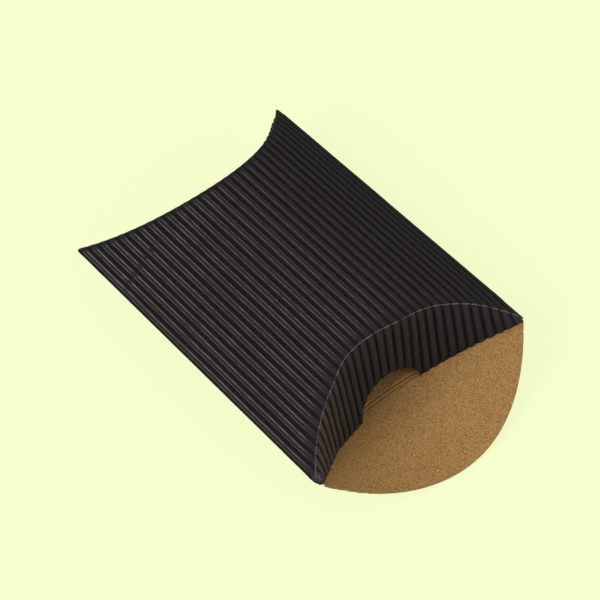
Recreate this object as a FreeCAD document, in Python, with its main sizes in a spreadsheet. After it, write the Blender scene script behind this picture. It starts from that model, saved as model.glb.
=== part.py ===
import FreeCAD
import Part
import math
import os

# Pillow box of open-fluted board: black ribs outside, plain kraft liner inside.
# X runs across the ribs, -Y is the front end, +Z is up, and the belly rests on z = 0.

SIZES = (
    ("chord_width", 90.0, "width between the side folds, on the glue line"),
    ("sleeve_length", 127.0, "corner to corner length of the upper panel"),
    ("panel_rise", 19.5, "rise of each panel from the plane of the side folds"),
    ("flute_height", 1.0, "wave height of the fluting paper, centre to centre"),
    ("fluting_paper", 0.3, "thickness of the black fluting paper"),
    ("liner_paper", 0.35, "thickness of the kraft liner"),
    ("glue_film", 0.05, "starch film between a rib valley and the liner"),
    ("front_fold", 90.0, "degrees that the inner front flap turns from straight to shut"),
    ("back_fold", 74.0, "degrees that the outer back flap turns from straight to shut"),
    ("strip_gap", 0.4, "width of the bend line between neighbouring strips of a flap"),
    ("crease_gap", 0.3, "space between a shut flap's root edge and its crushed crease"),
    ("edge_gap", 1.0, "space between a flap's free edge and the opposite liner"),
    ("panel_setback", 2.3, "distance of a panel's end inside its crease plane, which leaves a turning flap room"),
    ("flap_setback", 1.2, "distance of the straight flap's root outside its crease plane"),
    ("crease_rise", 0.8, "height of the crushed crease above the glue line"),
    ("crease_drop", 0.9, "depth of a folded crease below its panel's liner"),
    ("nest_step", 3.0, "how far an outer flap's crease stands outside the inner one's"),
    ("notch_radius", 13.5, "radius of the thumb notch"),
    ("belly_flat", 0.2, "depth to which the belly ribs are pressed flat"),
    ("side_gap", 0.1, "space between a side fold and the panels' edges"),
    ("fold_radius", 1.1, "radius of the rounded side folds"),
    ("tab_inset", 18.0, "distance of the glue tab's ends from the corners"),
    ("seam_film", 0.2, "space for the adhesive between the glue tab and the upper liner"),
    ("film_gap", 0.03, "space on both sides of the adhesive film"),
    ("overrun", 5.0, "extra length of every cutting tool"),
)

# Counts of ribs: across a panel, in a side strip of a flap, left off at a flap's tip and in the glue tab.
PANEL_RIBS = 31
STRIP_RIBS = 6
TIP_RIBS = 1
TAB_RIBS = 4
CREASE_TIP_SHARE = 0.4
FLAP_BASE_SHARE = 0.7
STRIP_NAMES = ("far_left", "left", "centre", "right", "far_right")

# Lengths that follow from the sheet, as expressions for the features that take them.
HALF_CHORD = "(Sizes.chord_width / 2)"
HALF_LENGTH = "(Sizes.sleeve_length / 2)"
OUTER_LENGTH = f"({HALF_LENGTH} + Sizes.nest_step)"
INNER_LENGTH = f"({HALF_LENGTH} - Sizes.nest_step)"
GLUE_RADIUS = f"(({HALF_CHORD}^2 + Sizes.panel_rise^2) / (2 * Sizes.panel_rise))"
AXIS_DROP = f"({GLUE_RADIUS} - Sizes.panel_rise)"
CREST_RISE = "(Sizes.glue_film + Sizes.fluting_paper + Sizes.flute_height)"
MID_HEIGHT = f"(Sizes.panel_rise + {CREST_RISE} - Sizes.belly_flat)"
TOP_RISE = f"(Sizes.panel_rise + {CREST_RISE} + Sizes.overrun)"
LINER_RADIUS = f"({GLUE_RADIUS} - Sizes.liner_paper)"
FOLD_RADIUS = f"({LINER_RADIUS} - Sizes.crease_drop)"
TAB_RADIUS = f"({LINER_RADIUS} - Sizes.seam_film - {CREST_RISE})"
TAB_LENGTH = "(Sizes.sleeve_length - 2 * Sizes.tab_inset)"
SIDE_LENGTH = "(Sizes.sleeve_length - 2 * Sizes.panel_setback)"
BLANK_LENGTH = f"(2 * {OUTER_LENGTH})"
TOOL_LENGTH = f"({BLANK_LENGTH} + 2 * Sizes.overrun)"
EDGE_INSET = "(Sizes.edge_gap + Sizes.liner_paper)"
SIDE_BASE = "(Sizes.side_gap / 2)"

# Run of each crease plane along the length for each unit of its rise.
FRONT_SLOPE = "(1 / tan(Sizes.front_fold / 2))"
BACK_SLOPE = "(1 / tan(Sizes.back_fold / 2))"
LOWER_FRONT_SLOPE = "tan(Sizes.front_fold / 2)"
LOWER_BACK_SLOPE = "tan(Sizes.back_fold / 2)"

X_AXIS = FreeCAD.Vector(1, 0, 0)
Y_AXIS = FreeCAD.Vector(0, 1, 0)
Z_AXIS = FreeCAD.Vector(0, 0, 1)

doc = FreeCAD.newDocument("pillow_box")
sheet = doc.addObject("Spreadsheet::Sheet", "Sizes")
for row, (alias, size, meaning) in enumerate(SIZES, start=1):
    sheet.set(f"A{row}", meaning)
    sheet.set(f"B{row}", str(size))
    sheet.setAlias(f"B{row}", alias)
doc.recompute()


def value(expression):
    """Number that an expression of the sheet gives."""
    return float(sheet.evalExpression(expression))


mid_height = value(MID_HEIGHT)
half_length = value(HALF_LENGTH)
outer_length = value(OUTER_LENGTH)
inner_length = value(INNER_LENGTH)
half_angle = math.asin(value(HALF_CHORD) / value(GLUE_RADIUS))
half_ribs = PANEL_RIBS / 2
rib_angle = half_angle / half_ribs
tip_edge = half_ribs - TIP_RIBS
side_edges = (half_ribs - 2 * STRIP_RIBS, half_ribs - STRIP_RIBS, tip_edge)
strip_edges = [-edge for edge in reversed(side_edges)] + list(side_edges)


class Board:
    """Frame of one sheet of board: its middle chord point, its tilt and the way it bows.

    Local x crosses the ribs, local y is the sheet's outward normal and local z runs along the ribs.
    The bow is 1 for a sheet that bulges outward and -1 for one pushed inward, as a shut flap is.
    """

    def __init__(self, chord_y, tilt, bow, glue_line=GLUE_RADIUS):
        self.bow = bow
        self.glue_line = glue_line
        self.radius = value(glue_line)
        self.axis_y = -bow * value(AXIS_DROP)
        turn = FreeCAD.Rotation(X_AXIS, tilt)
        self.place = FreeCAD.Placement(FreeCAD.Vector(0, chord_y, mid_height), turn)

    def point(self, angle, radius):
        """Local point at an angle from the middle rib and a distance from the sheet's axis."""
        height = self.axis_y + self.bow * radius * math.cos(angle)
        return FreeCAD.Vector(radius * math.sin(angle), height, 0)

    def axis_place(self, turn=0):
        """Placement of the sheet's axis, turned about itself by some degrees."""
        local = FreeCAD.Placement(FreeCAD.Vector(0, self.axis_y, 0), FreeCAD.Rotation(Z_AXIS, turn))
        return self.place.multiply(local)


upper_panel = Board(0, 90, 1)
lower_panel = Board(0, -90, 1)
glue_tab = Board(0, 90, 1, TAB_RADIUS)
front_upper_flap = Board(-half_length, 90 + sheet.front_fold, -1)
front_lower_flap = Board(-outer_length, -90, 1)
back_upper_flap = Board(half_length, 90 - sheet.back_fold, -1)
back_lower_flap = Board(inner_length, 90 - sheet.back_fold, -1)


def add(kind, name, **sizes):
    """New document object with each given size bound to an expression of the sheet."""
    obj = doc.addObject(kind, name)
    for size, expression in sizes.items():
        obj.setExpression(size, expression)
    return obj


def pair(kind, name, base, tool):
    """Boolean of two objects."""
    obj = doc.addObject(kind, name)
    obj.Base = base
    obj.Tool = tool
    return obj


def cut(name, base, tool):
    """What is left of base outside tool."""
    return pair("Part::Cut", name, base, tool)


def common(name, base, tool):
    """What base and tool share."""
    return pair("Part::Common", name, base, tool)


def rod(name, radius, length, place, angle="360"):
    """Cylinder, or a sector of one, centred on a placement and along its z axis."""
    obj = add("Part::Cylinder", name, Radius=radius, Height=length, Angle=angle)
    start = FreeCAD.Vector(0, 0, -value(length) / 2)
    obj.Placement = place.multiply(FreeCAD.Placement(start, FreeCAD.Rotation()))
    return obj


class Wave:
    """Centre line of the fluting on a board: equal round bends at crest and valley."""

    def __init__(self, board, first):
        self.board = board
        self.first = first
        self.valley = board.radius + board.bow * (sheet.glue_film + sheet.fluting_paper / 2)
        self.crest = self.valley + board.bow * sheet.flute_height
        droop = 1 - math.cos(rib_angle / 2)
        line = (2 - droop) * sheet.flute_height
        rest = sheet.flute_height**2 + 2 * droop * self.valley * self.crest
        self.bend = (math.sqrt(line**2 + 2 * droop * rest) - line) / (2 * droop)

    def bottom(self, rib, offset):
        """Lowest point of a valley, at an offset from the centre line."""
        angle = (self.first + rib) * rib_angle
        return self.board.point(angle, self.valley + self.board.bow * offset)

    def top(self, rib, offset):
        """Highest point of a crest, at an offset from the centre line."""
        angle = (self.first + rib) * rib_angle
        return self.board.point(angle, self.crest + self.board.bow * offset)

    def flank(self, valley_rib, crest_rib, offset):
        """Point where a valley bend meets a crest bend, on one side of the paper."""
        low = self.bottom(valley_rib, self.bend)
        reach = self.top(crest_rib, -self.bend) - low
        reach.normalize()
        return low + reach * (self.bend - offset)

    def end(self, rib, side, share, offset):
        """Point of a valley bend beside the strip's edge, up to the whole flank at a share of 1."""
        low = self.bottom(rib, self.bend)
        down = self.bottom(rib, offset) - low
        aside = self.flank(rib, rib + side / 2, offset) - low
        edge = sheet.strip_gap / 2 / self.bend
        turn = edge + share * (down.getAngle(aside) - edge)
        aside = aside - down * (aside.dot(down) / down.dot(down))
        aside.normalize()
        return low + down * math.cos(turn) + aside * (down.Length * math.sin(turn))

    def edges(self, count, offset):
        """Arcs of one side of the paper over some ribs, offset from the centre line."""
        half = 1 / 2
        arcs = [(self.end(0, 1, 0, offset), self.end(0, 1, half, offset), self.flank(0, half, offset))]
        for rib in range(count):
            rise = self.flank(rib, rib + half, offset)
            fall = self.flank(rib + 1, rib + half, offset)
            arcs.append((rise, self.top(rib + half, offset), fall))
            if rib < count - 1:
                arcs.append((fall, self.bottom(rib + 1, offset), self.flank(rib + 1, rib + 1 + half, offset)))
        arcs.append((fall, self.end(count, -1, half, offset), self.end(count, -1, 0, offset)))
        return [Part.Arc(*points).toShape() for points in arcs]


def fluting(name, board, first, last, length):
    """Waved black paper between two rib valleys, drawn along the ribs."""
    wave = Wave(board, first)
    count = round(last - first)
    half_paper = sheet.fluting_paper / 2
    outer = wave.edges(count, half_paper)
    inner = wave.edges(count, -half_paper)
    left = Part.makeLine(wave.end(0, 1, 0, half_paper), wave.end(0, 1, 0, -half_paper))
    right = Part.makeLine(wave.end(count, -1, 0, half_paper), wave.end(count, -1, 0, -half_paper))
    outline = doc.addObject("Part::Feature", f"{name}_outline")
    outline.Shape = Part.Face(Part.Wire(Part.sortEdges([left, right] + outer + inner)[0]))
    outline.Placement = board.place
    ribs = add("Part::Extrusion", f"{name}_ribs", LengthFwd=f"{length} / 2", LengthRev=f"{length} / 2")
    ribs.Base = outline
    ribs.DirMode = "Normal"
    ribs.Solid = True
    return ribs


def bent_sheet(name, board, first, last, low, high, length, shift=FreeCAD.Vector()):
    """Plain bent sheet between two radii and two places counted in ribs."""
    spare = sheet.strip_gap / 2 / board.radius
    start = math.degrees(first * rib_angle + spare)
    end = math.degrees(last * rib_angle - spare)
    turn = 90 - end if board.bow > 0 else start - 90
    moved = FreeCAD.Placement(shift, FreeCAD.Rotation())
    sector = moved.multiply(board.axis_place(turn))
    outer = rod(f"{name}_outer", high, length, sector, str(end - start))
    inner = rod(f"{name}_inner", low, f"({length} + 2 * Sizes.overrun)", sector)
    return cut(f"{name}_sheet", outer, inner)


def liner(name, board, first, last, length):
    """Kraft liner under the fluting between two rib valleys."""
    low = board.glue_line
    high = f"{board.glue_line} + Sizes.liner_paper"
    if board.bow > 0:
        low = f"{board.glue_line} - Sizes.liner_paper"
        high = board.glue_line
    return bent_sheet(name, board, first, last, low, high, length)


def span(name, board, base, top, low, high, low_slope, high_slope):
    """Block across the whole width that trims a sheet by two sloping planes.

    Its ends stand at low and high in the plane of the side folds and move along Y by their slopes on the way
    from base to top, both measured from that plane towards the board.
    """
    block = add(
        "Part::Wedge",
        name,
        Xmin=f"{low} + {base} * {low_slope}",
        Xmax=f"{high} + {base} * {high_slope}",
        Ymin=base,
        Ymax=top,
        Zmin="-Sizes.chord_width",
        Zmax="Sizes.chord_width",
        X2min=f"{low} + {top} * {low_slope}",
        X2max=f"{high} + {top} * {high_slope}",
        Z2min="-Sizes.chord_width",
        Z2max="Sizes.chord_width",
    )
    upright = FreeCAD.Rotation(FreeCAD.Vector(1, 1, 1), 120)
    if board is lower_panel:
        upright = FreeCAD.Rotation(Y_AXIS, 180).multiply(upright)
    block.Placement = FreeCAD.Placement(FreeCAD.Vector(0, 0, mid_height), upright)
    return block


def aside(setback, slope):
    """Distance along Y that moves a sloping plane by a setback."""
    return f"Sizes.{setback} * sqrt(1 + {slope}^2)"


def shut_lens(name, root, opposite):
    """Outline of a shut flap: inside its own panel's bore and inside the opposite one's."""
    near = rod(f"{name}_root", f"{FOLD_RADIUS} - Sizes.crease_gap", TOOL_LENGTH, root.axis_place())
    far = rod(f"{name}_edge", f"{LINER_RADIUS} - Sizes.edge_gap", TOOL_LENGTH, opposite.axis_place())
    return common(f"{name}_lens", near, far)


def notched(name, board, lens, drop):
    """Lens with a round thumb notch in the middle of its free edge, a drop along the ribs from the chord."""
    across = FreeCAD.Placement(FreeCAD.Vector(0, 0, drop), FreeCAD.Rotation(X_AXIS, 90))
    thumb = rod(f"{name}_thumb", "Sizes.notch_radius", TOOL_LENGTH, board.place.multiply(across))
    return cut(f"{name}_notched", lens, thumb)


nodes = []


def keep(label, obj):
    """Hand a finished object in under its own label."""
    obj.Label = label
    nodes.append(obj)


def ply_nodes(name, board, first, last, length, trim):
    """Fluting and liner of one zone of board, both trimmed by one tool."""
    for ply, make in (("fluting", fluting), ("liner", liner)):
        node = f"{name}_{ply}"
        keep(node, common(node, make(node, board, first, last, length), trim))


def strip_nodes(flap, board, trim):
    """Plies of a flap that folds, in strips that turn on the bend lines along the ribs."""
    for strip, first, last in zip(STRIP_NAMES, strip_edges, strip_edges[1:]):
        ply_nodes(f"{flap}_{strip}", board, first, last, BLANK_LENGTH, trim)


def crease_node(name, board, floor, low, high, panel_trim, flap_trim):
    """Crushed strip of board that joins a panel to its flap, between their two trimming tools."""
    tip = half_ribs - CREASE_TIP_SHARE
    top = f"{GLUE_RADIUS} + Sizes.crease_rise"
    middle = FreeCAD.Vector(0, value(f"({low} + {high}) / 2"), 0)
    strip = bent_sheet(name, board, -tip, tip, floor, top, f"({high} - {low})", middle)
    keep(name, cut(name, cut(f"{name}_strip", strip, panel_trim), flap_trim))


def flap_face(name, board):
    """Room in front of a shut flap, up to the height of the crushed crease."""
    return rod(name, f"{GLUE_RADIUS} - Sizes.crease_rise", TOOL_LENGTH, board.axis_place())


# Panels, trimmed inside the crease planes of their two ends.
upper_span = span(
    "upper_span",
    upper_panel,
    SIDE_BASE,
    TOP_RISE,
    f"-{HALF_LENGTH} + {aside('panel_setback', FRONT_SLOPE)}",
    f"{HALF_LENGTH} - {aside('panel_setback', BACK_SLOPE)}",
    FRONT_SLOPE,
    f"-{BACK_SLOPE}",
)
lower_span = span(
    "lower_span",
    lower_panel,
    SIDE_BASE,
    MID_HEIGHT,
    f"-{OUTER_LENGTH} + {aside('panel_setback', LOWER_FRONT_SLOPE)}",
    f"{INNER_LENGTH} - {aside('panel_setback', LOWER_BACK_SLOPE)}",
    LOWER_FRONT_SLOPE,
    f"-{LOWER_BACK_SLOPE}",
)
ply_nodes("upper_panel", upper_panel, -half_ribs, half_ribs, BLANK_LENGTH, upper_span)
belly_edges = (-half_ribs, -side_edges[0], side_edges[0], half_ribs)
for zone, first, last in zip(("left", "centre", "right"), belly_edges, belly_edges[1:]):
    node = f"lower_panel_fluting_{zone}"
    keep(node, common(node, fluting(node, lower_panel, first, last, BLANK_LENGTH), lower_span))
belly_liner = liner("lower_panel_liner", lower_panel, -half_ribs, half_ribs, BLANK_LENGTH)
keep("lower_panel_liner", common("lower_panel_liner", belly_liner, lower_span))

# Rounded folds along the two sides.
fold_angle = 180 - 2 * math.degrees(half_angle)
for side, turn in (("right", -fold_angle / 2), ("left", 180 - fold_angle / 2)):
    reach = math.cos(math.radians(turn + fold_angle / 2)) * value(f"{HALF_CHORD} + Sizes.side_gap")
    along = FreeCAD.Rotation(X_AXIS, 90).multiply(FreeCAD.Rotation(Z_AXIS, turn))
    place = FreeCAD.Placement(FreeCAD.Vector(reach, 0, mid_height), along)
    node = f"{side}_side_fold"
    keep(node, rod(node, "Sizes.fold_radius", SIDE_LENGTH, place, str(fold_angle)))

# Glue tab inside the right side, with its adhesive film under the upper liner.
tab_start = tip_edge - TAB_RIBS
keep("glue_tab_fluting", fluting("glue_tab_fluting", glue_tab, tab_start, tip_edge, TAB_LENGTH))
keep("glue_tab_liner", liner("glue_tab_liner", glue_tab, tab_start, tip_edge, TAB_LENGTH))
film_low = f"{LINER_RADIUS} - Sizes.seam_film + Sizes.film_gap"
film_high = f"{LINER_RADIUS} - Sizes.film_gap"
film = bent_sheet("seam_adhesive", upper_panel, tab_start, tip_edge, film_low, film_high, TAB_LENGTH)
keep("seam_adhesive", film)

# Front end: the notched inner flap is shut and the outer flap lies straight out.
front_lens = shut_lens("front_upper_flap", upper_panel, lower_panel)
front_drop = value(f"Sizes.panel_rise * {LOWER_FRONT_SLOPE}")
front_notched = notched("front_upper_flap", front_upper_flap, front_lens, front_drop)
strip_nodes("front_upper_flap", front_upper_flap, front_notched)
front_aside = aside("flap_setback", LOWER_FRONT_SLOPE)
front_span = span(
    "front_span",
    lower_panel,
    f"({FLAP_BASE_SHARE} * ({EDGE_INSET} + {front_aside}))",
    MID_HEIGHT,
    f"-{OUTER_LENGTH} + {EDGE_INSET}",
    f"-{OUTER_LENGTH} - {front_aside}",
    f"-{FRONT_SLOPE}",
    LOWER_FRONT_SLOPE,
)
strip_nodes("front_lower_flap", front_lower_flap, front_span)

# Back end: both flaps are shut, the notched upper one over the lower one.
back_lens = shut_lens("back_upper_flap", upper_panel, lower_panel)
back_drop = -value(f"Sizes.panel_rise * {LOWER_BACK_SLOPE}")
back_notched = notched("back_upper_flap", back_upper_flap, back_lens, back_drop)
strip_nodes("back_upper_flap", back_upper_flap, back_notched)
inner_lens = shut_lens("back_lower_flap", lower_panel, upper_panel)
ply_nodes("back_lower_flap", back_lower_flap, -tip_edge, tip_edge, BLANK_LENGTH, inner_lens)

# Crushed creases between the panels and the flaps.
upper_front = f"(-{HALF_LENGTH} - Sizes.crease_rise)"
upper_back = f"({HALF_LENGTH} + Sizes.crease_rise)"
lower_back = f"({INNER_LENGTH} + Sizes.crease_rise)"
front_face = flap_face("front_upper_face", front_upper_flap)
crease_node("front_upper_crease", upper_panel, FOLD_RADIUS, upper_front, "0", upper_span, front_face)
crease_node("front_lower_crease", lower_panel, LINER_RADIUS, f"-{OUTER_LENGTH}", "0", lower_span, front_span)
back_face = flap_face("back_upper_face", back_upper_flap)
crease_node("back_upper_crease", upper_panel, FOLD_RADIUS, "0", upper_back, upper_span, back_face)
inner_face = flap_face("back_lower_face", back_lower_flap)
crease_node("back_lower_crease", lower_panel, FOLD_RADIUS, "0", lower_back, lower_span, inner_face)

doc.recompute()
for obj in doc.Objects:
    if "Invalid" in obj.State or "Error" in obj.State:
        raise RuntimeError(f"{obj.Label} did not compute")
os.makedirs("parts", exist_ok=True)
for node in nodes:
    if node.Shape.isNull() or not node.Shape.isValid():
        raise RuntimeError(f"{node.Label} has no valid shape")
    node.Shape.exportStep(f"parts/{node.Label}.step")
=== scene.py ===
"""Pillow box of single-face corrugated board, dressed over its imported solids."""

import logging
import math
from dataclasses import dataclass, replace
from enum import Enum
from typing import Callable

import bmesh
import bpy
from mathutils import Matrix, Vector, noise


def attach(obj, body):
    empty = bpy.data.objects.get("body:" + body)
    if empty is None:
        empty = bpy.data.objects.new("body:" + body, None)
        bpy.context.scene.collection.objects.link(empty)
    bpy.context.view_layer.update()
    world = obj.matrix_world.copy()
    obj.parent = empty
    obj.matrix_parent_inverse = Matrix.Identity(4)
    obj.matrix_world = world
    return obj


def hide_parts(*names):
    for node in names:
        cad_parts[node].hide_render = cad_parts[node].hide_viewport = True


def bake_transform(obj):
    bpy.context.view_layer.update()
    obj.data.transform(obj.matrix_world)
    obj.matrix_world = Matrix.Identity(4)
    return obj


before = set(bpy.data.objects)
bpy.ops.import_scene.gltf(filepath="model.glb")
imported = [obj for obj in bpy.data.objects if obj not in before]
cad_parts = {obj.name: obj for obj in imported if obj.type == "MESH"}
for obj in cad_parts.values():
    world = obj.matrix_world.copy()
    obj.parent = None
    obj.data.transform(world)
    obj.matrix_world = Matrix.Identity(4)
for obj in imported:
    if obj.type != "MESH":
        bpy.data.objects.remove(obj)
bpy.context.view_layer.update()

log = logging.getLogger("pillow_box")

MM = 0.001
SAMPLES_PER_RIB = 12
X_AXIS = Vector((1, 0, 0))

Piece = bpy.types.Object
Material = bpy.types.Material
Node = bpy.types.Node
Tree = bpy.types.NodeTree
Socket = bpy.types.NodeSocket
Pair = tuple[float, float]
Run = Callable[[float], float]  # distance along the ribs for a place counted in ribs


def linear(hex_colour: str) -> tuple[float, float, float, float]:
    """Turn an sRGB hex colour into linear RGBA.

    Args:
        hex_colour: Six hex digits after a hash.

    Returns:
        Linear red, green, blue and an alpha of one.
    """
    shares = [int(hex_colour[start:start + 2], 16) / 255 for start in (1, 3, 5)]
    red, green, blue = (c / 12.92 if c <= 0.04045 else ((c + 0.055) / 1.055) ** 2.4 for c in shares)
    return red, green, blue, 1.0


def per_metre(size_mm: float) -> float:
    """Texture scale that gives a pattern the given size in millimetres."""
    return 1 / (size_mm * MM)


def plug(tree: Tree, node: Node, inputs: dict[str | int, object]) -> None:
    """Give sockets of a node, by name or number, a value or a link from an output socket."""
    for socket, source in inputs.items():
        if isinstance(source, Socket):
            tree.links.new(source, node.inputs[socket])
        else:
            node.inputs[socket].default_value = source


def add_node(tree: Tree, kind: str, inputs: dict[str | int, object], **settings: object) -> Node:
    """Add one shader node with its settings, values and links.

    Args:
        tree: Node tree that gets the node.
        kind: Type name of the node.
        inputs: Sockets by name or number, each with a value or an output socket to link.
        settings: Properties of the node itself.

    Returns:
        The new node.
    """
    made = tree.nodes.new(kind)
    for key, setting in settings.items():
        setattr(made, key, setting)
    plug(tree, made, inputs)
    return made


def new_material(name: str) -> tuple[Material, Tree, Node]:
    """Make a material and give it with its node tree and its shader."""
    material = bpy.data.materials.new(name)
    material.use_nodes = True
    return material, material.node_tree, material.node_tree.nodes["Principled BSDF"]


def calculate(tree: Tree, operation: str, *values: Socket | float) -> Socket:
    """Join one or two values by a mathematical step."""
    return add_node(tree, "ShaderNodeMath", dict(enumerate(values)), operation=operation).outputs[0]


def mix_colour(tree: Tree, factor: Socket, under: object, over: object) -> Socket:
    """Lay one colour over another by a factor."""
    return add_node(tree, "ShaderNodeMix", {"Factor": factor, 6: under, 7: over}, data_type="RGBA").outputs[2]


def noise_value(tree: Tree, place: Socket, scale: float, detail: float, roughness: float = 0.5) -> Socket:
    """Noise at a place, with its scale, detail and roughness."""
    values = {"Vector": place, "Scale": scale, "Detail": detail, "Roughness": roughness}
    return add_node(tree, "ShaderNodeTexNoise", values).outputs[0]


def map_range(tree: Tree, value: Socket, source: Pair, target: Pair = (0.0, 1.0), kind: str = "LINEAR") -> Socket:
    """Carry a value from one range to another and hold it at the ends."""
    ends = dict(zip(("From Min", "From Max", "To Min", "To Max"), source + target))
    return add_node(tree, "ShaderNodeMapRange", {"Value": value, **ends}, interpolation_type=kind).outputs[0]


def attribute(tree: Tree, name: str, output: str = "Fac") -> Socket:
    """Value that the vertices of a piece carry under a name."""
    return add_node(tree, "ShaderNodeAttribute", {}, attribute_name=name).outputs[output]


def relief(tree: Tree, height: Socket, strength: float, depth: float, **under: Socket) -> Socket:
    """Normal of a surface raised by a height, laid over another Normal if one is given."""
    values = {"Height": height, "Strength": strength, "Distance": depth, **under}
    return add_node(tree, "ShaderNodeBump", values).outputs[0]


def smooth_step(low: float, high: float, value: float) -> float:
    """Ease from nought at low to one at high."""
    share = min(max((value - low) / (high - low), 0.0), 1.0)
    return share * share * (3 - 2 * share)


class Slot(Enum):
    """Material slots of the record."""

    FLUTING = "black_fluting"
    LINER = "kraft_liner"
    CREASE = "crushed_crease"


class Ply(Enum):
    """The two papers of single-face board."""

    FLUTING = "fluting"
    LINER = "liner"

    @property
    def slot(self) -> Slot:
        """Record slot of the paper."""
        return Slot.FLUTING if self is Ply.FLUTING else Slot.LINER


@dataclass(frozen=True)
class BoardSizes:
    """Sizes of the board and of the bow that its sheets take, in metres."""

    chord: float = 90 * MM
    rise: float = 19.5 * MM
    half_length: float = 63.5 * MM
    nest: float = 3.0 * MM
    middle: float = 20.65 * MM
    ribs: int = 31
    glue: float = 0.05 * MM
    paper: float = 0.30 * MM
    flute: float = 1.0 * MM
    liner: float = 0.35 * MM
    edge_inset: float = 1.35 * MM
    notch_radius: float = 13.5 * MM
    back_tilt: float = 16.0

    @property
    def radius(self) -> float:
        """Radius of the glue line between the plies."""
        return ((self.chord / 2) ** 2 + self.rise**2) / (2 * self.rise)

    @property
    def drop(self) -> float:
        """Distance from a sheet's axis to its chord."""
        return self.radius - self.rise

    @property
    def half_ribs(self) -> float:
        """Ribs from the middle of a sheet to its side."""
        return self.ribs / 2

    @property
    def rib_angle(self) -> float:
        """Angle that one rib takes on the bow."""
        return math.asin(self.chord / 2 / self.radius) / self.half_ribs

    @property
    def pitch(self) -> float:
        """Distance between ribs on the glue line."""
        return self.rib_angle * self.radius

    def across(self, rib: float) -> float:
        """Distance across the box of a place counted in ribs."""
        return self.radius * math.sin(rib * self.rib_angle)

    def bow(self, rib: float, inset: float = 0.0) -> float:
        """Height of the bow above the chord.

        Args:
            rib: Place counted in ribs from the middle.
            inset: Distance inside the glue line.

        Returns:
            Height in metres, never under nought.
        """
        room = (self.radius - inset) ** 2 - self.across(rib) ** 2
        return max(math.sqrt(max(room, 0.0)) - self.drop, 0.0)


BOARD = BoardSizes()


@dataclass(frozen=True)
class Sheet:
    """Frame of one bowed sheet: chord place, tilt in degrees and bow, which is -1 when pushed inward."""

    chord_y: float
    tilt: float
    bow: int

    @property
    def normal(self) -> Vector:
        """Outward normal of the flat sheet."""
        turn = math.radians(self.tilt)
        return Vector((0, math.cos(turn), math.sin(turn)))

    @property
    def along(self) -> Vector:
        """Direction of the ribs."""
        turn = math.radians(self.tilt)
        return Vector((0, -math.sin(turn), math.cos(turn)))

    def out(self, rib: float) -> Vector:
        """Direction that faces the black side at a place counted in ribs."""
        angle = rib * BOARD.rib_angle
        return X_AXIS * (self.bow * math.sin(angle)) + self.normal * math.cos(angle)

    def point(self, rib: float, run: float) -> Vector:
        """Point of the sheet's glue line.

        Args:
            rib: Place across, counted in ribs.
            run: Distance along the ribs from the chord.

        Returns:
            The point in the row frame.
        """
        angle = rib * BOARD.rib_angle
        base = Vector((0, self.chord_y, BOARD.middle))
        height = self.bow * (BOARD.radius * math.cos(angle) - BOARD.drop)
        return base + X_AXIS * BOARD.across(rib) + self.normal * height + self.along * run

    def run_at(self, rib: float, rise: float) -> float:
        """Distance along the ribs of a shut flap at which it stands a rise above the middle."""
        turn = math.radians(self.tilt)
        height = self.bow * BOARD.bow(rib)
        return (rise - math.sin(turn) * height) / math.cos(turn)


@dataclass(frozen=True)
class Spot:
    """One place of a sheet: where it is, which way is out, and its marks for the finish."""

    place: Vector
    out: Vector
    depth: float
    rib: float = 0.5
    run: float = 0.0
    # marks for the finish: grey crest lines with a painted highlight, frayed paper on the black side and painted shade
    # on the kraft side, and a painted bounce light from the kraft
    rub_and_highlight: float = 0.0
    wear_and_shade: float = 0.0
    dust_and_bounce_light: float = 0.0


@dataclass(frozen=True)
class Settling:
    """How the box settled: its right side drawn in at the back and out at the front, its left front corner rounded."""

    taper: float = 0.95 * MM
    corner_y: float = -62.0 * MM
    corner_band: Pair = (43.2 * MM, 45.0 * MM)
    corner_curve: float = 0.06 / MM

    def move(self, place: Vector) -> Vector:
        """Move a place as the box in the photograph has settled.

        Args:
            place: Place on the even box.

        Returns:
            Place on the settled box.
        """
        side = max(place.x, 0.0) / (BOARD.chord / 2)
        taper = self.taper * side**2 * place.y / BOARD.half_length
        past = max(self.corner_y - place.y, 0.0)
        rounded = smooth_step(*self.corner_band, -place.x) * self.corner_curve * past**2
        return place + X_AXIS * (rounded - taper)


SETTLING = Settling()


def bump(middle: float, reach: float, value: float) -> float:
    """Rise from nought to one at the middle and fall again within the reach."""
    return 1 - smooth_step(0.0, reach, abs(value - middle))


def make_sheet(name: str, columns: int, rows: int, spot: Callable[[float, float], Spot]) -> Piece:
    """Shape a grid into a sheet of paper with two sides and cut edges.

    Args:
        name: Name of the piece.
        columns: Faces across the ribs.
        rows: Faces along the ribs.
        spot: Place of the outer side for shares across and along.

    Returns:
        The new object, linked to the scene.
    """
    shape = bmesh.new()
    back = shape.verts.layers.float_vector.new("back")
    lay = shape.verts.layers.float_vector.new("lay")
    marks = {mark: shape.verts.layers.float.new(mark) for mark in ("rub_and_highlight", "wear_and_shade", "dust_and_bounce_light")}
    bmesh.ops.create_grid(shape, x_segments=columns, y_segments=rows, size=0.5)
    for vert in shape.verts:
        here = spot(vert.co.x + 0.5, vert.co.y + 0.5)
        vert.co = SETTLING.move(here.place)
        vert[back] = here.out * -here.depth
        vert[lay] = Vector((here.rib, here.run / BOARD.pitch, 0))
        for mark, layer in marks.items():
            vert[layer] = getattr(here, mark)
    raised = bmesh.ops.extrude_face_region(shape, geom=shape.faces[:])
    for vert in raised["geom"]:
        if isinstance(vert, bmesh.types.BMVert):
            vert.co += vert[back]
    shape.verts.layers.float_vector.remove(back)
    bmesh.ops.recalc_face_normals(shape, faces=shape.faces[:])
    return finish_mesh(name, shape)


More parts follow.
